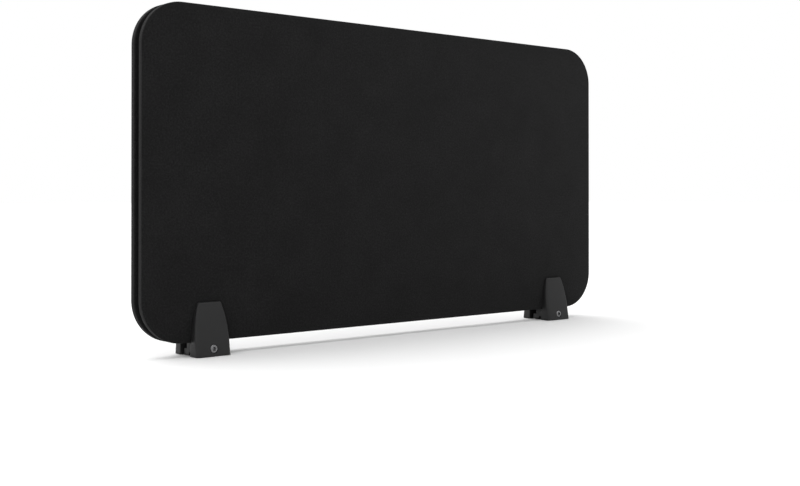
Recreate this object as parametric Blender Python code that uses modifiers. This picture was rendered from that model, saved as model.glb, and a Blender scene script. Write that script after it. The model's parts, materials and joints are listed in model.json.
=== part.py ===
"""A desk privacy panel: two fabric-covered pads on a core board, held upright by two clamp feet.

X runs along the panel, Y to its rear and Z up. The origin is on the desk, under the panel's middle.
"""

import math

import bmesh
import bpy
from mathutils import Matrix

# The panel
PANEL_WIDTH = 0.800
PANEL_HEIGHT = 0.4145
PANEL_CORNER = 0.054
DESK_GAP = 0.0175  # the panel's lower edge over the desk
PAD = 0.0095  # one covered pad
CORE = 0.0094
CORE_INSET = 0.008  # how far the core board stops short of the pads' edges
FABRIC = 0.0008
FABRIC_FOLD = 0.0012  # radius of the fabric's fold round a pad's edges
FABRIC_RETURN = 0.018  # width of the fabric that is turned over onto a pad's back
GAP = 0.0003  # between neighbours that touch
PANEL_THICKNESS = 2 * PAD + CORE + 2 * GAP
PANEL_TOP = DESK_GAP + PANEL_HEIGHT

# The clamp feet
FOOT_FROM_END = 0.0895  # a foot's centre from the panel's end
FOOT_WIDTH = 0.048
FRONT_OVERHANG = 0.016  # how far a foot reaches out of the panel's front face at the desk
REAR_OVERHANG = 0.0138
FOOT_HEIGHT = 0.066
FOOT_LIFT = 0.0005  # the moulding stands this far off the desk, on its glide
HEEL = 0.0025  # how far the full-width base reaches in under the panel
BASE_CORNER = 0.005
TOP_CORNER = 0.0025
TOP_HALF_WIDTH = 0.016
TOP_THICKNESS = 0.0034
LEAN_POWER = 1.05  # the face leans in faster towards the top
GRIP_GAP = 0.0005  # jaw to panel, bridged by the liner
SHOULDER = 0.0015  # rounding of a jaw's top edge

# The tongue under the panel, with a pocket for the rear jaw's guide
TONGUE_HALF_WIDTH = 0.022
TONGUE_BOTTOM = 0.001
TONGUE_STEP = 0.009
TONGUE_TOP_REACH = 0.014  # in from the panel's face, above the step
TONGUE_LOW_REACH = 0.020  # and below it
TONGUE_CLEAR = 0.0005  # the tongue's top under the panel
NOTCH_WIDTH = 0.009
NOTCH_DEPTH = 0.0055
NOTCH_HEIGHT = 0.0055
GUIDE_HALF_WIDTH = 0.009
GUIDE_LOW = 0.004
GUIDE_HIGH = 0.015
GUIDE_END = 0.006  # the guide's tip, in from the panel's front face
POCKET_END = 0.005

# M6 socket head cap screw, 45 mm long, and its nut
SCREW_HEIGHT = 0.0095
HEAD_FACE = 0.0142  # the head's face, out from the panel's front face
HEAD_RADIUS = 0.005
HEAD_LENGTH = 0.006
HEAD_CHAMFER = 0.0004
SHANK_RADIUS = 0.003
SHANK_LENGTH = 0.021
THREAD_RADIUS = 0.0027
SCREW_LENGTH = 0.045
TIP_CHAMFER = 0.0005
SOCKET_FLATS = 0.005
SOCKET_DEPTH = 0.003
BORE_RADIUS = 0.0033
COUNTERBORE_RADIUS = 0.0054
NUT_FLATS = 0.010
NUT_HEIGHT = 0.005
NUT_SEAT = 0.0305  # the nut's pocket floor, in from the panel's front face

# Rubber parts
LINER_LOW = 0.022
LINER_HIGH = 0.061
LINER_MARGIN = 0.0035
LINER = 0.0009
GLIDE = 0.0015
GLIDE_HALF_WIDTH = 0.019
GLIDE_OUT = 0.0115
GLIDE_IN = 0.0005
GLIDE_CORNER = 0.003

ARC_STEPS = 10
SMALL_ARC_STEPS = 4
ROUND_STEPS = 24
SMOOTH_BELOW = math.radians(35)  # faces that meet at less than this are shaded as one
MERGE = 0.00001


def clear_scene():
    for each in list(bpy.data.objects):
        bpy.data.objects.remove(each)


def collection(name):
    made = bpy.data.collections.new(name)
    bpy.context.scene.collection.children.link(made)
    return made


def material(name, colour, roughness, metallic=0.0):
    made = bpy.data.materials.new(name)
    made.use_nodes = True
    shader = made.node_tree.nodes["Principled BSDF"]
    shader.inputs["Base Color"].default_value = (*colour, 1.0)
    shader.inputs["Roughness"].default_value = roughness
    shader.inputs["Metallic"].default_value = metallic
    return made


def placed(name, mesh, paint, parent=None, at=(0, 0, 0), turn=(0, 0, 0)):
    """A sub-part in the panel's collection."""
    made = bpy.data.objects.new(name, mesh)
    bpy.data.collections[PARTS].objects.link(made)
    made.data.materials.append(paint)
    made.parent = parent
    made.location = at
    made.rotation_euler = turn
    return made


def empty(name, at=(0, 0, 0), parent=None):
    made = bpy.data.objects.new(name, None)
    bpy.data.collections[PARTS].objects.link(made)
    made.location = at
    made.parent = parent
    return made


def boolean(target, mesh, operation="DIFFERENCE"):
    """Cuts a mesh out of an object, or joins it on."""
    cutter = bpy.data.objects.new(f"{target.name}_tool_{len(target.modifiers)}", mesh)
    bpy.data.collections[CUTTERS].objects.link(cutter)
    cutter.parent = target
    cutter.hide_render = True
    cutter.display_type = "WIRE"
    modifier = target.modifiers.new(operation.lower(), "BOOLEAN")
    modifier.operation = operation
    modifier.solver = "EXACT"
    modifier.object = cutter


def finished(shape, name):
    """A mesh from a bmesh whose faces all point outwards, with its round stretches smooth."""
    bmesh.ops.recalc_face_normals(shape, faces=shape.faces)
    mesh = bpy.data.meshes.new(name)
    shape.to_mesh(mesh)
    shape.free()
    mesh.shade_smooth()
    mesh.set_sharp_from_angle(angle=SMOOTH_BELOW)
    return mesh


def box(name, low, high):
    shape = bmesh.new()
    bmesh.ops.create_cube(shape, size=1.0)
    size = [b - a for a, b in zip(low, high)]
    middle = [(a + b) / 2 for a, b in zip(low, high)]
    bmesh.ops.transform(
        shape, matrix=Matrix.Translation(middle) @ Matrix.Diagonal((*size, 1)), verts=shape.verts
    )
    return finished(shape, name)


def rod(name, radius, low, high, sides=ROUND_STEPS):
    """A prism or cylinder along Y, at the screw's height, with a flat side down."""
    shape = bmesh.new()
    bmesh.ops.create_cone(
        shape, cap_ends=True, segments=sides, radius1=radius, radius2=radius, depth=high - low
    )
    turn = Matrix.Rotation(math.pi / 2, 4, "X") @ Matrix.Rotation(math.pi / sides, 4, "Z")
    place = Matrix.Translation((0, (low + high) / 2, SCREW_HEIGHT))
    bmesh.ops.transform(shape, matrix=place @ turn, verts=shape.verts)
    return finished(shape, name)


def arc(middle, radius, start, steps):
    """Points on a quarter circle that runs anticlockwise from an angle in quarter turns."""
    angles = [(start + i / steps) * math.pi / 2 for i in range(steps + 1)]
    return [(middle[0] + radius * math.cos(a), middle[1] + radius * math.sin(a)) for a in angles]


def rounded_rectangle(left, right, low, high, radius, steps):
    corners = [(right, high), (left, high), (left, low), (right, low)]
    inwards = [(-1, -1), (1, -1), (1, 1), (-1, 1)]
    points = []
    for quarter, ((x, y), (dx, dy)) in enumerate(zip(corners, inwards)):
        points += arc((x + dx * radius, y + dy * radius), radius, quarter, steps)
    return points


def flat_plate(name, outline, thickness):
    """A closed mesh with an outline in X and Y, and half its thickness each way along Z."""
    data = bpy.data.curves.new(name, "CURVE")
    data.dimensions = "2D"
    data.fill_mode = "BOTH"
    data.extrude = thickness / 2
    spline = data.splines.new("POLY")
    spline.points.add(len(outline) - 1)
    for point, (x, y) in zip(spline.points, outline):
        point.co = (x, y, 0, 1)
    spline.use_cyclic_u = True
    guide = bpy.data.objects.new(name, data)
    bpy.context.scene.collection.objects.link(guide)
    bpy.context.view_layer.update()
    mesh = bpy.data.meshes.new_from_object(
        guide.evaluated_get(bpy.context.evaluated_depsgraph_get())
    )
    bpy.data.objects.remove(guide)
    bpy.data.curves.remove(data)
    mesh.materials.clear()
    shape = bmesh.new()
    shape.from_mesh(mesh)
    bpy.data.meshes.remove(mesh)
    bmesh.ops.remove_doubles(shape, verts=shape.verts, dist=MERGE)
    return finished(shape, name)


def upright_plate(name, outline, thickness, y):
    """The same with its outline in X and Z, centred on a plane of constant Y."""
    mesh = flat_plate(name, outline, thickness)
    mesh.transform(Matrix.Translation((0, y, 0)) @ Matrix.Rotation(math.pi / 2, 4, "X"))
    return mesh


def level_plate(name, outline, low, high):
    """The same, lying between two heights."""
    mesh = flat_plate(name, outline, high - low)
    mesh.transform(Matrix.Translation((0, 0, (low + high) / 2)))
    return mesh


def ring_loft(rings, close_first, close_last):
    """A bmesh through rings of equally many points, with or without its end faces."""
    shape = bmesh.new()
    made = [[shape.verts.new(p) for p in ring] for ring in rings]
    for one, two in zip(made, made[1:]):
        for i, corner in enumerate(one):
            j = (i + 1) % len(one)
            shape.faces.new((corner, one[j], two[j], two[i]))
    if close_first:
        shape.faces.new(made[0])
    if close_last:
        shape.faces.new(made[-1])
    return shape


# ---------------------------------------------------------------- the panel


def panel_outline(inset):
    half = PANEL_WIDTH / 2 - inset
    return rounded_rectangle(
        -half, half, DESK_GAP + inset, PANEL_TOP - inset, PANEL_CORNER - inset, ARC_STEPS
    )


def fabric_cover(name, side, paint):
    """Fabric over a pad's face and edges, turned onto its back; side is -1 in front, 1 behind."""
    fold = arc((FABRIC_FOLD, FABRIC_FOLD), FABRIC_FOLD, 2, SMALL_ARC_STEPS)
    over_the_edge = [(inset, depth) for inset, depth in reversed(fold)]
    onto_the_back = [(inset, PAD - depth) for inset, depth in fold]
    path = over_the_edge + onto_the_back + [(FABRIC_RETURN, PAD)]
    face = PANEL_THICKNESS / 2
    rings = []
    for inset, depth in path:
        rings.append([(x, side * (face - depth), z) for x, z in panel_outline(inset)])
    shape = ring_loft(rings, close_first=True, close_last=False)
    mesh = finished(shape, name)
    cover = placed(name, mesh, paint)
    wall = cover.modifiers.new("thickness", "SOLIDIFY")
    wall.thickness = FABRIC
    wall.offset = outward_offset(mesh, side)
    wall.use_even_offset = True
    return cover


def outward_offset(mesh, side):
    """Solidify's offset that thickens a cover inwards, whichever way its open sheet faces."""
    face = max(mesh.polygons, key=lambda polygon: polygon.area)
    return -1.0 if face.normal.y * side > 0 else 1.0


def build_panel(fabric, felt, board):
    inset = FABRIC + GAP
    thickness = PAD - 2 * inset
    for name, side in (("front", -1), ("rear", 1)):
        fabric_cover(f"{name}_fabric_cover", side, fabric)
        middle = side * (PANEL_THICKNESS / 2 - PAD / 2)
        mesh = upright_plate(f"{name}_felt_board", panel_outline(inset), thickness, middle)
        placed(f"{name}_felt_board", mesh, felt)
    mesh = upright_plate("core_board", panel_outline(CORE_INSET), CORE, 0)
    placed("core_board", mesh, board)


# ---------------------------------------------------------------- the feet
# A foot's pieces are drawn about its own centre. "Out" is a distance from the panel's face.


def jaw_half_width(z):
    """Upright sides along the base, then a flank that curves in towards the top."""
    rise = max(0.0, (z - DESK_GAP) / (FOOT_HEIGHT - DESK_GAP))
    return FOOT_WIDTH / 2 - (FOOT_WIDTH / 2 - TOP_HALF_WIDTH) * rise**2


def overhang(side):
    return FRONT_OVERHANG if side < 0 else REAR_OVERHANG


def jaw_out(z, side):
    """How far the jaw's face stands out at a height."""
    lean = overhang(side) - TOP_THICKNESS - GRIP_GAP
    return overhang(side) - lean * (z / FOOT_HEIGHT) ** LEAN_POWER


def jaw_ring(z, side, inner, shrink=0.0):
    """A level section through a jaw: two rounded outer corners and two square inner ones."""
    half = jaw_half_width(z) - shrink
    out = jaw_out(z, side) - shrink
    radius = BASE_CORNER + (TOP_CORNER - BASE_CORNER) * z / FOOT_HEIGHT
    plan = arc((half - radius, out - radius), radius, 0, SMALL_ARC_STEPS)
    plan += arc((radius - half, out - radius), radius, 1, SMALL_ARC_STEPS)
    plan += [(-half, GRIP_GAP), (-half, inner), (half, inner), (half, GRIP_GAP)]
    return [(x, side * (PANEL_THICKNESS / 2 + y), z) for x, y in plan]


def jaw_body(name, side):
    """The base and the upright of one jaw as a single closed shape."""
    base_top = DESK_GAP - GAP
    levels = 11
    shoulder = FOOT_HEIGHT - SHOULDER
    rings = [jaw_ring(z, side, -HEEL) for z in (FOOT_LIFT, base_top / 2, base_top)]
    for i in range(levels + 1):
        z = base_top + (shoulder - base_top) * i / levels
        rings.append(jaw_ring(z, side, GRIP_GAP))
    for inset, drop in arc((SHOULDER, SHOULDER), SHOULDER, 2, 3)[1:]:
        rings.append(jaw_ring(FOOT_HEIGHT - drop, side, GRIP_GAP, shrink=inset))
    shape = ring_loft(rings, close_first=True, close_last=True)
    bmesh.ops.remove_doubles(shape, verts=shape.verts, dist=MERGE)
    return finished(shape, name)


def from_face(side, depth):
    """Y of a point at a depth in from the panel's face on one side."""
    return side * (PANEL_THICKNESS / 2 - depth)


def span(side, near, far):
    """The lower and the upper Y between two depths in from the panel's face."""
    return sorted((from_face(side, near), from_face(side, far)))


def liner_outline(grow):
    """The liner's outline in X and Z, following the jaw's flanks."""
    low = LINER_LOW - grow
    high = LINER_HIGH + grow
    steps = 6
    heights = [low + (high - low) * i / steps for i in range(steps + 1)]
    flank = [(jaw_half_width(z) - LINER_MARGIN + grow, z) for z in heights]
    return flank + [(-x, z) for x, z in reversed(flank)]


def glide_outline(side, grow):
    """The glide's outline in X and Y."""
    low, high = span(side, -GLIDE_OUT, -GLIDE_IN)
    half = GLIDE_HALF_WIDTH + grow
    return rounded_rectangle(
        -half, half, low - grow, high + grow, GLIDE_CORNER + grow, SMALL_ARC_STEPS
    )


def rubber_recesses(jaw, side):
    """Shallow pockets for the liner in the jaw's grip and for the glide under its base."""
    reach = 0.001
    depth = LINER + GAP - (GRIP_GAP - GAP)
    middle = from_face(side, -GRIP_GAP - depth / 2 + reach / 2)
    boolean(jaw, upright_plate("liner_pocket", liner_outline(GAP), depth + reach, middle))
    boolean(jaw, level_plate("glide_pocket", glide_outline(side, GAP), -reach, GLIDE + GAP))


def front_jaw(name, parent, paint):
    jaw = placed(name, jaw_body(name, -1), paint, parent)
    rubber_recesses(jaw, -1)
    top = DESK_GAP - TONGUE_CLEAR
    for low, high, reach in (
        (TONGUE_BOTTOM, TONGUE_STEP, TONGUE_LOW_REACH),
        (TONGUE_STEP - GAP, top, TONGUE_TOP_REACH),
    ):
        near, far = span(-1, HEEL - GAP, reach)
        corner = (TONGUE_HALF_WIDTH, far, high)
        boolean(jaw, box("tongue", (-TONGUE_HALF_WIDTH, near, low), corner), "UNION")
    near, far = span(-1, HEEL, HEEL + NOTCH_DEPTH)
    for left in (-TONGUE_HALF_WIDTH - GAP, TONGUE_HALF_WIDTH + GAP - NOTCH_WIDTH):
        corner = (left + NOTCH_WIDTH, far, NOTCH_HEIGHT)
        boolean(jaw, box("notch", (left, near, 0), corner))
    near, far = span(-1, POCKET_END, TONGUE_LOW_REACH + GAP)
    half = GUIDE_HALF_WIDTH + GAP
    corner = (half, far, GUIDE_HIGH + GAP)
    boolean(jaw, box("guide_pocket", (-half, near, GUIDE_LOW - GAP), corner))
    near, far = span(-1, -HEAD_FACE, POCKET_END + GAP)
    boolean(jaw, rod("screw_bore", BORE_RADIUS, near, far))
    near, far = span(-1, -FRONT_OVERHANG - GAP, GAP - HEAD_FACE + HEAD_LENGTH)
    boolean(jaw, rod("counterbore", COUNTERBORE_RADIUS, near, far))


def rear_jaw(name, parent, paint):
    jaw = placed(name, jaw_body(name, 1), paint, parent)
    rubber_recesses(jaw, 1)
    tip = from_face(-1, GUIDE_END)
    seat = from_face(-1, NUT_SEAT)
    corner = (GUIDE_HALF_WIDTH, from_face(1, 0), GUIDE_HIGH)
    boolean(jaw, box("guide", (-GUIDE_HALF_WIDTH, tip, GUIDE_LOW), corner), "UNION")
    boolean(jaw, rod("screw_bore", BORE_RADIUS, tip - GAP, seat + GAP))
    across_corners = (NUT_FLATS / 2 + GAP) / math.cos(math.pi / 6)
    back = from_face(1, -REAR_OVERHANG - GAP)
    boolean(jaw, rod("nut_pocket", across_corners, seat, back, sides=6))


def clamp_screw(name, parent, paint):
    """Turned about its own axis, which is local Z and points out of the front."""
    profile = [
        (0, HEAD_LENGTH),
        (HEAD_RADIUS - HEAD_CHAMFER, HEAD_LENGTH),
        (HEAD_RADIUS, HEAD_LENGTH - HEAD_CHAMFER),
        (HEAD_RADIUS, 0),
        (SHANK_RADIUS, 0),
        (SHANK_RADIUS, -SHANK_LENGTH),
        (THREAD_RADIUS, -SHANK_LENGTH - SHANK_RADIUS + THREAD_RADIUS),
        (THREAD_RADIUS, TIP_CHAMFER - SCREW_LENGTH),
        (THREAD_RADIUS - TIP_CHAMFER, -SCREW_LENGTH),
        (0, -SCREW_LENGTH),
    ]
    shape = bmesh.new()
    points = [shape.verts.new((x, 0, z)) for x, z in profile]
    for one, two in zip(points, points[1:]):
        shape.edges.new((one, two))
    mesh = bpy.data.meshes.new(name)
    shape.to_mesh(mesh)
    shape.free()
    under_head = from_face(-1, HEAD_LENGTH - HEAD_FACE)
    at = (0, under_head, SCREW_HEIGHT)
    screw = placed(name, mesh, paint, parent, at, (math.pi / 2, 0, 0))
    turned = screw.modifiers.new("turned", "SCREW")
    turned.steps = ROUND_STEPS
    turned.render_steps = ROUND_STEPS
    turned.use_merge_vertices = True
    turned.merge_threshold = MERGE
    turned.use_smooth_shade = True
    socket = bmesh.new()
    corner = SOCKET_FLATS / 2 / math.cos(math.pi / 6)
    bmesh.ops.create_cone(
        socket, cap_ends=True, segments=6, radius1=corner, radius2=corner, depth=2 * SOCKET_DEPTH
    )
    bmesh.ops.translate(socket, vec=(0, 0, HEAD_LENGTH), verts=socket.verts)
    boolean(screw, finished(socket, "hex_socket"))


def clamp_nut(name, parent, paint):
    front = from_face(-1, NUT_SEAT + GAP)
    corner = NUT_FLATS / 2 / math.cos(math.pi / 6)
    mesh = rod(name, corner, front, front + NUT_HEIGHT, sides=6)
    nut = placed(name, mesh, paint, parent)
    boolean(nut, rod("nut_bore", SHANK_RADIUS, front - GAP, front + NUT_HEIGHT + GAP))


def rubber(side_name, side, parent, paint):
    """The liner that grips the panel and the glide that stands on the desk."""
    middle = from_face(side, -GAP - LINER / 2)
    mesh = upright_plate(f"{side_name}_liner", liner_outline(0), LINER, middle)
    placed(f"{side_name}_liner", mesh, paint, parent)
    mesh = level_plate(f"{side_name}_glide", glide_outline(side, 0), 0, GLIDE)
    placed(f"{side_name}_glide", mesh, paint, parent)


def build_foot(name, x, plastic, steel, soft):
    foot = empty(f"{name}_foot", (x, 0, 0))
    front_jaw(f"{name}_front_jaw", foot, plastic)
    rubber(f"{name}_front", -1, foot, soft)
    clamp_screw(f"{name}_clamp_screw", foot, steel)
    slide = empty(f"{name}_rear_slide", parent=foot)
    rear_jaw(f"{name}_rear_jaw", slide, plastic)
    rubber(f"{name}_rear", 1, slide, soft)
    clamp_nut(f"{name}_clamp_nut", slide, steel)


PARTS = "desk_privacy_panel"
CUTTERS = "desk_privacy_panel_cutters"

clear_scene()
collection(PARTS)
collection(CUTTERS)
build_panel(
    fabric=material("black_fabric", (0.016, 0.016, 0.017), 0.95),
    felt=material("grey_felt", (0.10, 0.10, 0.105), 1.0),
    board=material("black_board", (0.008, 0.008, 0.008), 0.8),
)
plastic_paint = material("black_plastic", (0.030, 0.030, 0.031), 0.5)
steel_paint = material("zinc_steel", (0.42, 0.42, 0.43), 0.35, 1.0)
rubber_paint = material("black_rubber", (0.012, 0.012, 0.012), 0.9)
foot_x = PANEL_WIDTH / 2 - FOOT_FROM_END
build_foot("left", -foot_x, plastic_paint, steel_paint, rubber_paint)
build_foot("right", foot_x, plastic_paint, steel_paint, rubber_paint)
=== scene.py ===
import json
import math
from contextlib import contextmanager

import bmesh
import bpy
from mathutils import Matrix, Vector


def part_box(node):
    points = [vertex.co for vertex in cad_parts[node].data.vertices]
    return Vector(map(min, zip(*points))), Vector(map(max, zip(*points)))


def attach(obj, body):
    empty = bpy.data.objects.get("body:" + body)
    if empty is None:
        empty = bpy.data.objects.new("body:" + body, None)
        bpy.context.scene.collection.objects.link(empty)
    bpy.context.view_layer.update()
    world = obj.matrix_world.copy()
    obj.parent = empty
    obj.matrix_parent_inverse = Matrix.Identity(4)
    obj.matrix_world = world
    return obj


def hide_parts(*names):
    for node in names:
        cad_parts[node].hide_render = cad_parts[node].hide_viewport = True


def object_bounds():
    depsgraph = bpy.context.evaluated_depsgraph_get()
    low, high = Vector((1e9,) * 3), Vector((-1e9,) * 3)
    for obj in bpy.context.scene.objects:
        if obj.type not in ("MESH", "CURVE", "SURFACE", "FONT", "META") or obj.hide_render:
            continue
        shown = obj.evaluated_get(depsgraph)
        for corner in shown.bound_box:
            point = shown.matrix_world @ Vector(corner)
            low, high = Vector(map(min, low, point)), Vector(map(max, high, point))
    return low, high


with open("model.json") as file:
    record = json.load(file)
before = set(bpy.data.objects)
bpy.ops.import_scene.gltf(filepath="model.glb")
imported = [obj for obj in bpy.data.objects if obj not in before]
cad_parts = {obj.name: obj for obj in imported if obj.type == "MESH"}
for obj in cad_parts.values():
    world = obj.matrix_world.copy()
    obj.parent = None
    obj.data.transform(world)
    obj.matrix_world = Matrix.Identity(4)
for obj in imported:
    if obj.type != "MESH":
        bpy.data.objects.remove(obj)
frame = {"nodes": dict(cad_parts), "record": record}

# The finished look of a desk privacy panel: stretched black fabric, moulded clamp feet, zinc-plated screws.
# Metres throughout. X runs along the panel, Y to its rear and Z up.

CAD_BOX = [list(corner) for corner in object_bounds()]
PANEL_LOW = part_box("front_fabric_cover")[0].z

SIDES = {"front": -1, "rear": 1}
FEET = ("left", "right")

# Fabric covers
CORNER_RADIUS = 0.054
CORNER_STEPS = 32
FABRIC = 0.0008
FABRIC_FOLD = 0.0018  # radius round a pad's edges
FOLD_STEPS = 5
FABRIC_RETURN = 0.018  # turned over onto a pad's back

# Jaws
GAP = 0.0003  # between neighbours that touch
GRIP_GAP = 0.0005  # jaw to panel
HEEL = 0.0025  # how far the base reaches in under the panel
TOP_HALF_WIDTH = 0.016
TOP_THICKNESS = 0.0034
LEAN_POWER = 1.05
LEVELS = 20
BASE_LEVELS = 4
BASE_CORNER = 0.005
TOP_CORNER = 0.0025
CORNER_SEGMENTS = 7
SHOULDER = 0.0019  # rounding of the top
SOFT_EDGE = 0.0004
FINE_EDGE = 0.0003
LINER = 0.0009
LINER_MARGIN = 0.0035
LINER_STEPS = 8
GLIDE = 0.0015
GLIDE_CORNER = 0.0033
TONGUE_HALF_WIDTH = 0.022
TONGUE_BOTTOM = 0.001
TONGUE_STEP = 0.009
TONGUE_TOP_REACH = 0.014
TONGUE_LOW_REACH = 0.020
TONGUE_ROOT = 0.0015  # overlap with the heel
NOTCH = (0.009, 0.0055, 0.0055)
GUIDE_HALF_WIDTH = 0.009
GUIDE_LOW = 0.004
GUIDE_HIGH = 0.015
GUIDE_END = 0.006
POCKET_END = 0.005
BEYOND = 0.020  # far enough out of the panel's face to clear a jaw
PAST = 0.001  # how far a cutting tool runs past a surface

# Screws and nuts
HEAD_LENGTH = 0.006
HEAD_FACE_MARGIN = 0.0005
HEAD_CHAMFER = 0.0006
HEAD_CROWN = 0.00001
KNURLS = 48
KNURL_ROOT = 0.975  # a groove's radius as a share of the head's
COUNTERBORE_RADIUS = 0.0054
COUNTERBORE_EDGE = 0.0001
BORE_RADIUS = 0.0033
SHANK_RADIUS = 0.003
SHANK_LENGTH = 0.021
SHANK_EDGE = 0.0002
SHANK_ROOT = 0.0005  # overlap with the head
THREAD_CORE = 0.00255
THREAD_CREST = 0.0029
THREAD_PITCH = 0.001
THREAD_RUN_IN = 0.0004
SOCKET_FLATS = 0.005
SOCKET_DEPTH = 0.003
NUT_FLATS = 0.010
NUT_CHAMFER = 0.0017
HEXAGON_TURN = math.pi / 6

# Finishes
FABRIC_DARK = (0.0042, 0.0042, 0.0043)
FABRIC_LIGHT = (0.0165, 0.0165, 0.0167)
YARN = 0.00085
FELT_DARK = (0.055, 0.055, 0.058)
FELT_LIGHT = (0.14, 0.14, 0.145)
BOARD_DARK = (0.004, 0.004, 0.004)
BOARD_LIGHT = (0.012, 0.012, 0.0125)
PLASTIC_DARK = (0.0095, 0.0096, 0.0098)
PLASTIC_LIGHT = (0.0150, 0.0151, 0.0154)
ZINC_DARK = (0.17, 0.17, 0.175)
ZINC_LIGHT = (0.28, 0.28, 0.285)
RUBBER_DARK = (0.008, 0.008, 0.008)
RUBBER_LIGHT = (0.022, 0.022, 0.0225)
RIB = 0.0016

# Studio
FLOOR_SIZE = 40.0
FLOOR_DARK = (0.86, 0.86, 0.86)
FLOOR_LIGHT = (0.88, 0.88, 0.88)
SOFT_LIGHT_FRONT = 0.55
SOFT_LIGHT_REAR = 0.9
SOFT_LIGHT_ABOVE = 0.75
SUN_STRENGTH = 1.2
SUN_WIDTH = 75  # degrees
SUN_TOWARDS = (-0.35, 0.45, 1.0)

# Camera
LENS = 50.0
SENSOR = 36.0
LENS_SHIFT = -0.07125
CAMERA_FROM_PANEL = (0.6038, 1.2033, 0.1812)  # left of its end, in front of its face, above its lower edge
CAMERA_TILT = 90.408
CAMERA_TURN = -39.728


# ---------------------------------------------------------------- modelling


def deselect_all():
    for each in bpy.context.selected_objects:
        each.select_set(False)


def select_only(piece):
    deselect_all()
    piece.select_set(True)
    bpy.context.view_layer.objects.active = piece


def start(name):
    """Names the primitive that has just been added."""
    piece = bpy.context.object
    piece.name = name
    piece.data.name = name
    return piece


def block(name, low, high):
    deselect_all()
    middle = [(a + b) / 2 for a, b in zip(low, high)]
    size = [b - a for a, b in zip(low, high)]
    bpy.ops.mesh.primitive_cube_add(size=1.0, location=middle)
    piece = start(name)
    piece.scale = size
    settle(piece)
    return piece


def round_bar(name, radius, low, high, x, z, sides=48, turn=0.0):
    """A cylinder or prism along Y between two places."""
    deselect_all()
    bpy.ops.mesh.primitive_cylinder_add(
        vertices=sides,
        radius=radius,
        depth=high - low,
        location=(x, (low + high) / 2, z),
        rotation=(math.pi / 2, turn, 0),
    )
    piece = start(name)
    settle(piece)
    return piece


def settle(piece):
    """Moves a piece's place, turn and size into its mesh."""
    select_only(piece)
    bpy.ops.object.transform_apply(location=True, rotation=True, scale=True)


@contextmanager
def editing(piece):
    """Edit mode on one piece, with nothing selected."""
    select_only(piece)
    bpy.ops.object.mode_set(mode="EDIT")
    bpy.ops.mesh.select_all(action="DESELECT")
    yield
    bpy.ops.object.mode_set(mode="OBJECT")


def pick(kind, test):
    """Selects the faces, edges or verts of the mesh being edited that pass a test, and no others."""
    mesh = bpy.context.object.data
    bpy.ops.mesh.select_mode(type=kind)
    bpy.ops.mesh.select_all(action="DESELECT")
    shape = bmesh.from_edit_mesh(mesh)
    shape.normal_update()
    for each in {"FACE": shape.faces, "EDGE": shape.edges, "VERT": shape.verts}[kind]:
        if test(each):
            each.select_set(True)
    bmesh.update_edit_mesh(mesh)


def runs_along(edge, axis):
    along = (edge.verts[1].co - edge.verts[0].co).normalized()
    return abs(along[axis]) > 0.9


def near(a, b, within=0.00002):
    return abs(a - b) < within


def sharp(edge, degrees=40):
    return len(edge.link_faces) == 2 and edge.calc_face_angle(0) > math.radians(degrees)


def apply(piece, kind, **settings):
    """Adds a modifier with its settings and applies it."""
    select_only(piece)
    modifier = piece.modifiers.new(kind.lower(), kind)
    for key, value in settings.items():
        setattr(modifier, key, value)
    bpy.ops.object.modifier_apply(modifier=modifier.name)


def merge(piece, tool, operation="DIFFERENCE"):
    """Cuts a tool out of a piece, or joins it on, and takes the tool away."""
    apply(piece, "BOOLEAN", operation=operation, solver="EXACT", object=tool)
    bpy.data.objects.remove(tool)


def finish_piece(piece, node, body, slot):
    """Shades and paints a piece that takes a CAD node's place, and puts it on its body."""
    select_only(piece)
    bpy.ops.object.shade_smooth_by_angle(angle=math.radians(30))
    piece.data.materials.clear()
    piece.data.materials.append(PAINTS[slot])
    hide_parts(node)
    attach(piece, body)


# ---------------------------------------------------------------- fabric


def fabric_cover(end, side):
    """Fabric stretched over a pad's face and edges, and turned onto its back."""
    node = f"{end}_fabric_cover"
    low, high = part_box(node)
    outer = high.y if side > 0 else low.y
    inner = low.y if side > 0 else high.y
    pad_area = (high.x - low.x) * (high.z - low.z)

    def is_back(face):
        return face.normal.y * side < -0.99 and face.calc_area() > 0.5 * pad_area

    cover = block(f"{end}_cover", low, high)
    with editing(cover):
        pick("EDGE", lambda e: runs_along(e, 1))
        bpy.ops.mesh.bevel(
            offset=CORNER_RADIUS, offset_type="OFFSET", segments=CORNER_STEPS, affect="EDGES"
        )
        for plane in (outer, inner):
            pick("EDGE", lambda e: all(near(v.co.y, plane) for v in e.verts) and sharp(e))
            bpy.ops.mesh.bevel(
                offset=FABRIC_FOLD, offset_type="OFFSET", segments=FOLD_STEPS, affect="EDGES"
            )
        pick("FACE", is_back)
        bpy.ops.mesh.inset(thickness=FABRIC_RETURN - FABRIC_FOLD)
        pick("FACE", is_back)
        bpy.ops.mesh.delete(type="FACE")
    apply(cover, "SOLIDIFY", thickness=FABRIC, offset=-1.0, use_even_offset=True)
    finish_piece(cover, node, "panel", "fabric")


# ---------------------------------------------------------------- feet


def panel_face(side):
    low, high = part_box("front_fabric_cover" if side < 0 else "rear_fabric_cover")
    return low.y if side < 0 else high.y


def inwards(side, depth):
    """Y at a depth in from the panel's face on one side; a negative depth is outside."""
    return panel_face(side) - side * depth


def slab(name, x, half, side, near_depth, far_depth, low, high):
    """A block across a foot's middle between two depths in from the panel's face."""
    y0, y1 = sorted((inwards(side, near_depth), inwards(side, far_depth)))
    return block(name, (x - half, y0, low), (x + half, y1, high))


def screw_axis(foot):
    """X and Z of a foot's screw."""
    low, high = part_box(f"{foot}_clamp_screw")
    return (low.x + high.x) / 2, (low.z + high.z) / 2


def soften(piece, width):
    """Bevels every sharp edge of a piece."""
    with editing(piece):
        pick("EDGE", sharp)
        bpy.ops.mesh.bevel(offset=width, offset_type="OFFSET", segments=2, affect="EDGES")


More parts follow.
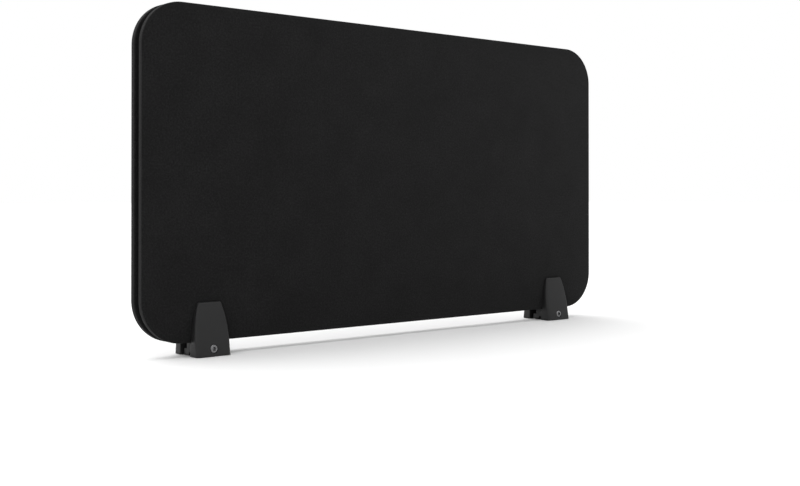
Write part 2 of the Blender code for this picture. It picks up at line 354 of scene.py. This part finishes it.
def jaw_shape(node, side):
    """Half width and reach of a jaw at a height, as functions."""
    low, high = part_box(node)
    base_half = (high.x - low.x) / 2
    reach = abs((low.y if side < 0 else high.y) - panel_face(side))
    lean = reach - TOP_THICKNESS - GRIP_GAP

    def half_width(z):
        rise = max(0.0, (z - PANEL_LOW) / (high.z - PANEL_LOW))
        return base_half - (base_half - TOP_HALF_WIDTH) * rise**2

    def out(z):
        return reach - lean * (z / high.z) ** LEAN_POWER

    return half_width, out


def jaw_body(node, side):
    """Drawn up from the base in small steps, narrower, thinner and with smaller corners each time."""
    low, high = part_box(node)
    x = (low.x + high.x) / 2
    half_width, out = jaw_shape(node, side)
    grip = inwards(side, -GRIP_GAP)
    heights = [low.z + (PANEL_LOW - low.z) * i / BASE_LEVELS for i in range(BASE_LEVELS)]
    heights += [PANEL_LOW + (high.z - PANEL_LOW) * i / LEVELS for i in range(LEVELS + 1)]

    def face(z):
        return inwards(side, -out(z))

    def radius(z):
        return BASE_CORNER + (TOP_CORNER - BASE_CORNER) * z / high.z

    deselect_all()
    bpy.ops.mesh.primitive_plane_add(size=1.0)
    jaw = start("jaw")
    jaw.location = (x, (grip + face(low.z)) / 2, low.z)
    jaw.scale = (2 * half_width(low.z), abs(face(low.z) - grip), 1)
    settle(jaw)
    with editing(jaw):
        pick("VERT", lambda v: near(v.co.y, face(low.z)))
        bpy.ops.mesh.bevel(offset=BASE_CORNER, segments=CORNER_SEGMENTS, affect="VERTICES")
        for below, above in zip(heights, heights[1:]):
            pick("FACE", lambda f: abs(f.normal.z) > 0.9 and near(f.calc_center_median().z, below))
            bpy.ops.mesh.extrude_region_move(
                TRANSFORM_OT_translate={"value": (0, 0, above - below)}
            )
            narrower = half_width(above) - half_width(below)
            smaller = radius(above) / radius(below)
            for hand in (-1, 1):
                pick("VERT", lambda v: near(v.co.z, above) and (v.co.x - x) * hand > 0)
                bpy.ops.transform.translate(value=(hand * narrower, 0, 0))
                pick(
                    "VERT",
                    lambda v: near(v.co.z, above)
                    and (v.co.x - x) * hand > 0
                    and not near(v.co.y, grip),
                )
                corner = (x + hand * half_width(above), face(below), above)
                bpy.ops.transform.resize(value=(smaller, smaller, 1), center_override=corner)
                bpy.ops.transform.translate(value=(0, face(above) - face(below), 0))
        bpy.ops.mesh.select_all(action="SELECT")
        bpy.ops.mesh.normals_make_consistent(inside=False)
        pick(
            "EDGE",
            lambda e: all(near(v.co.z, high.z) for v in e.verts)
            and not all(near(v.co.y, grip) for v in e.verts),
        )
        bpy.ops.mesh.bevel(offset=SHOULDER, offset_type="OFFSET", segments=4, affect="EDGES")
    heel = slab("heel", x, half_width(low.z), side, -2 * GRIP_GAP, HEEL, low.z, PANEL_LOW - GAP)
    merge(jaw, heel, "UNION")
    apply(
        jaw,
        "BEVEL",
        width=SOFT_EDGE,
        segments=2,
        limit_method="ANGLE",
        angle_limit=math.radians(50),
    )
    return jaw


def rubber_pockets(jaw, foot, end, side, x):
    """Shallow pockets that hold the liner and the glide."""
    low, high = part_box(f"{foot}_{end}_liner")
    half_width = jaw_shape(f"{foot}_{end}_jaw", side)[0]
    depth = LINER + GAP - (GRIP_GAP - GAP)

    def half_pocket(z):
        return half_width(z) - LINER_MARGIN + GAP

    first = half_pocket(low.z - GAP)
    tool = slab(
        "liner_tool", x, first, side, PAST - GRIP_GAP, -GRIP_GAP - depth, low.z - GAP, low.z
    )
    rise = (high.z + GAP - low.z) / LINER_STEPS
    with editing(tool):
        pick("FACE", lambda f: f.normal.z > 0.5)
        for step in range(LINER_STEPS):
            below = low.z + step * rise
            bpy.ops.mesh.extrude_region_move(TRANSFORM_OT_translate={"value": (0, 0, rise)})
            narrower = half_pocket(below + rise) / half_pocket(below)
            bpy.ops.transform.resize(value=(narrower, 1, 1), center_override=(x, 0, 0))
    merge(jaw, tool)
    low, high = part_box(f"{foot}_{end}_glide")
    tool = block(
        "glide_tool", (low.x - GAP, low.y - GAP, -PAST), (high.x + GAP, high.y + GAP, GLIDE + GAP)
    )
    with editing(tool):
        pick("EDGE", lambda e: runs_along(e, 2))
        bpy.ops.mesh.bevel(
            offset=GLIDE_CORNER, offset_type="OFFSET", segments=5, affect="EDGES"
        )
    merge(jaw, tool)


def front_jaw(foot):
    """The upright in front, with its tongue under the panel, the guide's pocket and the screw's seat."""
    x, z = screw_axis(foot)
    jaw = jaw_body(f"{foot}_front_jaw", -1)
    top = PANEL_LOW - GRIP_GAP
    for low, high, reach in (
        (TONGUE_BOTTOM, TONGUE_STEP, TONGUE_LOW_REACH),
        (TONGUE_STEP - 2 * SOFT_EDGE, top, TONGUE_TOP_REACH),
    ):
        near_end = HEEL - TONGUE_ROOT
        tongue = slab("tongue", x, TONGUE_HALF_WIDTH, -1, near_end, reach, low, high)
        soften(tongue, FINE_EDGE)
        merge(jaw, tongue, "UNION")
    across, deep, tall = NOTCH
    for edge in (-1, 1):
        middle = x + edge * (TONGUE_HALF_WIDTH + GAP - across / 2)
        merge(jaw, slab("notch", middle, across / 2, -1, HEEL, HEEL + deep, -GAP, tall))
    half = GUIDE_HALF_WIDTH + GAP
    far_end = TONGUE_LOW_REACH + GAP
    merge(jaw, slab("pocket", x, half, -1, POCKET_END, far_end, GUIDE_LOW - GAP, GUIDE_HIGH + GAP))
    outside = inwards(-1, -BEYOND)
    merge(jaw, round_bar("bore", BORE_RADIUS, outside, inwards(-1, POCKET_END + GAP), x, z))
    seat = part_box(f"{foot}_clamp_screw")[0].y + HEAD_LENGTH + GAP
    recess = round_bar("recess", COUNTERBORE_RADIUS, outside, seat, x, z, 64)
    with editing(recess):
        pick("EDGE", lambda e: sharp(e) and all(near(v.co.y, outside) for v in e.verts))
        bpy.ops.mesh.bevel(
            offset=COUNTERBORE_EDGE, offset_type="OFFSET", segments=1, affect="EDGES"
        )
    merge(jaw, recess)
    rubber_pockets(jaw, foot, "front", -1, x)
    return jaw


def rear_jaw(foot):
    """The upright behind, with the guide that runs in the front jaw and the nut's pocket."""
    x, z = screw_axis(foot)
    jaw = jaw_body(f"{foot}_rear_jaw", 1)
    tip = inwards(-1, GUIDE_END)
    guide = block(
        "guide",
        (x - GUIDE_HALF_WIDTH, tip, GUIDE_LOW),
        (x + GUIDE_HALF_WIDTH, inwards(1, 0), GUIDE_HIGH),
    )
    soften(guide, FINE_EDGE)
    merge(jaw, guide, "UNION")
    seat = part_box(f"{foot}_clamp_nut")[0].y - GAP
    merge(jaw, round_bar("bore", BORE_RADIUS, tip - GAP, seat + GAP, x, z))
    corner = (NUT_FLATS / 2 + GAP) / math.cos(HEXAGON_TURN)
    merge(jaw, round_bar("hexagon", corner, seat, inwards(1, -BEYOND), x, z, 6, HEXAGON_TURN))
    rubber_pockets(jaw, foot, "rear", 1, x)
    return jaw


def clamp_screw(foot):
    """A socket head cap screw with a straight knurl, a hexagon socket and thread ridges."""
    low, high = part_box(f"{foot}_clamp_screw")
    x, z = screw_axis(foot)
    radius = (high.x - low.x) / 2
    under_head = low.y + HEAD_LENGTH
    screw = round_bar("screw", radius, low.y, under_head, x, z, 2 * KNURLS)

    def off_axis(point):
        return math.hypot(point.x - x, point.z - z)

    def knurl_of(point):
        return round(math.atan2(point.z - z, point.x - x) / math.pi * KNURLS)

    with editing(screw):
        pick("FACE", lambda f: f.normal.y < -0.9)
        bpy.ops.mesh.inset(thickness=HEAD_FACE_MARGIN)
        bpy.ops.transform.translate(value=(0, -HEAD_CROWN, 0))
        pick(
            "VERT",
            lambda v: near(v.co.y, low.y, HEAD_CROWN / 2)
            and off_axis(v.co) > radius - HEAD_FACE_MARGIN / 2,
        )
        bpy.ops.transform.translate(value=(0, HEAD_CHAMFER, 0))
        pick("VERT", lambda v: v.co.y > low.y + HEAD_CHAMFER / 2 and knurl_of(v.co) % 2)
        bpy.ops.transform.resize(value=(KNURL_ROOT, 1, KNURL_ROOT), center_override=(x, 0, z))
    corner = SOCKET_FLATS / 2 / math.cos(HEXAGON_TURN)
    socket = round_bar(
        "socket", corner, low.y - SOCKET_DEPTH, low.y + SOCKET_DEPTH, x, z, 6, HEXAGON_TURN
    )
    merge(screw, socket)
    shank_end = under_head + SHANK_LENGTH
    shank = round_bar("shank", SHANK_RADIUS, under_head - SHANK_ROOT, shank_end, x, z, 48)
    soften(shank, SHANK_EDGE)
    merge(screw, shank, "UNION")
    thread = round_bar("thread", THREAD_CORE, shank_end - PAST, high.y, x, z, 24)
    threaded = high.y - shank_end
    turns = int(threaded / THREAD_PITCH)
    with editing(thread):
        pick("FACE", lambda f: f.normal.y > 0.9)
        bpy.ops.transform.translate(value=(0, THREAD_RUN_IN - threaded, 0))
        half = (threaded - THREAD_RUN_IN) / turns / 2
        for _ in range(turns):
            for size in (THREAD_CREST / THREAD_CORE, THREAD_CORE / THREAD_CREST):
                bpy.ops.mesh.extrude_region_move(
                    TRANSFORM_OT_translate={"value": (0, half, 0)}
                )
                bpy.ops.transform.resize(value=(size, 1, size), center_override=(x, 0, z))
    merge(screw, thread, "UNION")
    return screw


def clamp_nut(foot):
    """A hexagon nut with its corners turned down at both ends."""
    low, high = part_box(f"{foot}_clamp_nut")
    x, z = screw_axis(foot)
    corner = NUT_FLATS / 2 / math.cos(HEXAGON_TURN)
    nut = round_bar("nut", corner, low.y, high.y, x, z, 6, HEXAGON_TURN)
    turning = round_bar("turning", corner, low.y - PAST, high.y + PAST, x, z, 64)
    with editing(turning):
        pick("EDGE", sharp)
        bpy.ops.mesh.bevel(offset=NUT_CHAMFER, offset_type="OFFSET", segments=1, affect="EDGES")
    merge(nut, turning, "INTERSECT")
    merge(nut, round_bar("hole", SHANK_RADIUS, low.y - GAP, high.y + GAP, x, z, 48))
    return nut


FOOT_PIECES = (
    (front_jaw, "front_clamp_jaw", "front_jaw", "foot", "plastic"),
    (rear_jaw, "rear_clamp_jaw", "rear_jaw", "rear_clamp", "plastic"),
    (clamp_screw, "socket_screw", "clamp_screw", "screw", "steel"),
    (clamp_nut, "hexagon_nut", "clamp_nut", "rear_clamp", "steel"),
)


def both_feet():
    for foot in FEET:
        for make, name, node, body, slot in FOOT_PIECES:
            piece = make(foot)
            piece.name = f"{foot}_{name}"
            piece.data.name = piece.name
            finish_piece(piece, f"{foot}_{node}", f"{foot}_{body}", slot)


# ---------------------------------------------------------------- materials


class Value:
    """A shader value: arithmetic on it adds Math nodes."""

    def __init__(self, paint, socket):
        self.paint = paint
        self.socket = socket

    def math(self, operation, *others):
        return self.paint.node("ShaderNodeMath", {"operation": operation}, self, *others)

    def __add__(self, other):
        return self.math("ADD", other)

    def __radd__(self, other):
        return self.math("ADD", other)

    def __sub__(self, other):
        return self.math("SUBTRACT", other)

    def __rsub__(self, other):
        return self.paint.node("ShaderNodeMath", {"operation": "SUBTRACT"}, other, self)

    def __mul__(self, other):
        return self.math("MULTIPLY", other)

    def __rmul__(self, other):
        return self.math("MULTIPLY", other)

    def sine(self):
        return self.math("SINE")

    def at_least(self, other):
        return self.math("MAXIMUM", other)

    def clamped(self):
        return self.paint.node("ShaderNodeClamp", {}, self, 0.0, 1.0)


class Paint:
    """A material or the studio's surroundings, and the one way its nodes are made."""

    def __init__(self, name, kind="materials", shader="Principled BSDF"):
        self.material = getattr(bpy.data, kind).new(name)
        self.material.use_nodes = True
        self.tree = self.material.node_tree
        self.shader = self.tree.nodes[shader]

    def node(self, kind, settings, *values, output=0, **named):
        """Adds a node: its settings first, then its sockets' values or links in order or by name."""
        made = self.tree.nodes.new(kind)
        for key, value in settings.items():
            setattr(made, key, value)
        for i, value in enumerate(values):
            self.feed(made.inputs[i], value)
        for key, value in named.items():
            self.feed(made.inputs[key.replace("_", " ")], value)
        return Value(self, made.outputs[output])

    def feed(self, socket, value):
        if isinstance(value, Value):
            self.tree.links.new(value.socket, socket)
        else:
            socket.default_value = value

    def place(self):
        return self.node("ShaderNodeTexCoord", {}, output="Object")

    def direction(self):
        return self.node("ShaderNodeTexCoord", {}, output="Generated")

    def parts(self, vector):
        split = self.tree.nodes.new("ShaderNodeSeparateXYZ")
        self.tree.links.new(vector.socket, split.inputs[0])
        return [Value(self, out) for out in split.outputs]

    def noise(self, where, scale, detail=2.0, roughness=0.5):
        return self.node(
            "ShaderNodeTexNoise", {}, Vector=where, Scale=scale, Detail=detail, Roughness=roughness
        )

    def blend(self, factor, one, two):
        """A colour between two colours."""
        mixed = self.tree.nodes.new("ShaderNodeMix")
        mixed.data_type = "RGBA"
        self.feed(mixed.inputs["Factor"], factor)
        self.feed(mixed.inputs[6], (*one, 1.0))
        self.feed(mixed.inputs[7], (*two, 1.0))
        return Value(self, mixed.outputs[2])

    def bump(self, height, strength, distance):
        return self.node(
            "ShaderNodeBump", {}, Height=height, Strength=strength, Distance=distance
        )

    def coat(self, **sockets):
        for key, value in sockets.items():
            self.feed(self.shader.inputs[key.replace("_", " ")], value)
        return self.material


def fabric_paint():
    """A close plain weave of black yarn with a slight mottle and a haze of fibre."""
    paint = Paint("woven_black_fabric")
    place = paint.place()
    x, y, z = paint.parts(place)
    warp = ((x + y) * (math.pi / YARN)).sine()
    weft = ((z + y) * (math.pi / YARN)).sine()
    weave = warp * weft
    fibres = paint.noise(place, 2600.0, 3.0, 0.6)
    mottle = paint.noise(place, 420.0, 4.0, 0.65)
    cloud = paint.noise(place, 22.0, 3.0, 0.55)
    tone = (0.5 * mottle + 0.3 * fibres + 0.12 * cloud + 0.08 * weave - 0.04).clamped()
    shade = paint.node("ShaderNodeMapRange", {}, tone, 0.36, 0.60, 0.0, 1.0)
    colour = paint.blend(shade, FABRIC_DARK, FABRIC_LIGHT)
    height = weave * 0.5 + fibres * 0.7 + mottle * 0.5
    return paint.coat(
        Base_Color=colour,
        Roughness=0.82 + 0.16 * fibres,
        Normal=paint.bump(height, 0.55, 0.00022),
        Sheen_Weight=0.04,
        Sheen_Roughness=0.5,
        Specular_IOR_Level=0.11,
    )


def felt_paint():
    """Clumped grey fibre."""
    paint = Paint("pressed_grey_felt")
    place = paint.place()
    fibres = paint.noise(place, 1500.0, 4.0, 0.7)
    clumps = paint.noise(place, 160.0, 3.0, 0.6)
    colour = paint.blend((0.5 * fibres + 0.5 * clumps).clamped(), FELT_DARK, FELT_LIGHT)
    return paint.coat(
        Base_Color=colour,
        Roughness=0.9 + 0.1 * clumps,
        Normal=paint.bump(fibres + clumps, 0.8, 0.0004),
    )


def board_paint():
    """Fibreboard painted matt black, with the slight grain of a sawn edge."""
    paint = Paint("black_painted_fibreboard")
    place = paint.place()
    y = paint.parts(place)[1]
    grain = paint.noise(place, 900.0, 4.0, 0.7)
    streak = paint.noise(place, 60.0, 2.0, 0.5)
    layers = ((y + 0.0004 * streak) * 4200.0).sine()
    colour = paint.blend((0.6 * grain + 0.4 * streak).clamped(), BOARD_DARK, BOARD_LIGHT)
    return paint.coat(
        Base_Color=colour,
        Roughness=0.62 + 0.25 * grain,
        Normal=paint.bump(grain + 0.15 * layers, 0.5, 0.00015),
    )


def plastic_paint():
    """Moulded plastic with a fine spark-eroded grain, faint flow marks and smudges."""
    paint = Paint("moulded_black_plastic")
    place = paint.place()
    grain = paint.noise(place, 3200.0, 2.0, 0.55)
    flow = paint.noise(place, 70.0, 3.0, 0.5)
    smudge = paint.noise(place, 26.0, 4.0, 0.6)
    colour = paint.blend((0.55 * grain + 0.45 * flow).clamped(), PLASTIC_DARK, PLASTIC_LIGHT)
    return paint.coat(
        Base_Color=colour,
        Roughness=0.40 + 0.14 * smudge + 0.08 * grain,
        Normal=paint.bump(grain, 0.25, 0.00006),
        Specular_IOR_Level=0.29,
    )


def steel_paint():
    """Zinc plate under a pale film with dull spots."""
    paint = Paint("zinc_plated_steel")
    place = paint.place()
    film = paint.noise(place, 240.0, 3.0, 0.6)
    spots = paint.noise(place, 900.0, 3.0, 0.6)
    fine = paint.noise(place, 5200.0, 2.0, 0.5)
    colour = paint.blend((0.6 * film + 0.4 * spots).clamped(), ZINC_DARK, ZINC_LIGHT)
    return paint.coat(
        Base_Color=colour,
        Metallic=1.0,
        Roughness=0.30 + 0.16 * spots + 0.05 * fine,
        Normal=paint.bump(fine + 0.6 * spots, 0.3, 0.00004),
    )


def rubber_paint():
    """Black rubber with fine ribs and a bloom."""
    paint = Paint("ribbed_black_rubber")
    place = paint.place()
    z = paint.parts(place)[2]
    ribs = (z * (2 * math.pi / RIB)).sine()
    bloom = paint.noise(place, 120.0, 4.0, 0.6)
    grain = paint.noise(place, 2400.0, 2.0, 0.5)
    colour = paint.blend(bloom, RUBBER_DARK, RUBBER_LIGHT)
    return paint.coat(
        Base_Color=colour,
        Roughness=0.72 + 0.2 * bloom,
        Normal=paint.bump(0.6 * ribs + 0.4 * grain, 0.6, 0.00015),
    )


PAINTS = {
    "fabric": fabric_paint(),
    "felt": felt_paint(),
    "board": board_paint(),
    "plastic": plastic_paint(),
    "steel": steel_paint(),
    "rubber": rubber_paint(),
}

for part in frame["record"]["subparts"]:
    for place in frame["nodes"][part["node"]].material_slots:
        place.material = PAINTS[part["material_slot"]]

for end, side in SIDES.items():
    fabric_cover(end, side)
both_feet()


# ---------------------------------------------------------------- studio


def floor():
    deselect_all()
    bpy.ops.mesh.primitive_plane_add(size=FLOOR_SIZE)
    made = start("studio_floor")
    paint = Paint("studio_white")
    speck = paint.noise(paint.place(), 3.0, 2.0)
    paint.coat(Base_Color=paint.blend(speck, FLOOR_DARK, FLOOR_LIGHT), Roughness=0.9)
    made.data.materials.append(paint.material)


def soft_sun():
    """A broad light from far away, so that it falls on the whole floor alike."""
    data = bpy.data.lights.new("overhead", "SUN")
    data.energy = SUN_STRENGTH
    data.angle = math.radians(SUN_WIDTH)
    lamp = bpy.data.objects.new("overhead", data)
    bpy.context.scene.collection.objects.link(lamp)
    lamp.rotation_euler = Vector(SUN_TOWARDS).to_track_quat("Z", "Y").to_euler()


def studio():
    """White to the eye all round; its soft light is weaker in front and stronger behind and above."""
    floor()
    around = Paint("studio", "worlds", "Background")
    bpy.context.scene.world = around.material
    x, y, z = around.parts(around.direction())
    behind = (0.5 + 0.36 * y - 0.36 * x).clamped()
    light = SOFT_LIGHT_FRONT + (SOFT_LIGHT_REAR - SOFT_LIGHT_FRONT) * behind
    light = light + SOFT_LIGHT_ABOVE * z.at_least(0.0)
    seen = around.node("ShaderNodeLightPath", {}, output="Is Camera Ray")
    around.coat(Color=(1.0, 1.0, 1.0, 1.0), Strength=light + seen * (1.0 - light))
    soft_sun()
    bpy.context.scene.view_settings.view_transform = "Standard"


def camera():
    """In front of the panel's left end, a little over the desk."""
    data = bpy.data.cameras.new("camera")
    data.lens = LENS
    data.sensor_width = SENSOR
    data.shift_y = LENS_SHIFT
    made = bpy.data.objects.new("camera", data)
    bpy.context.scene.collection.objects.link(made)
    left, front, up = CAMERA_FROM_PANEL
    made.location = (CAD_BOX[0][0] - left, panel_face(-1) - front, PANEL_LOW + up)
    made.rotation_euler = (math.radians(CAMERA_TILT), 0, math.radians(CAMERA_TURN))
    bpy.context.scene.camera = made


studio()
camera()
deselect_all()
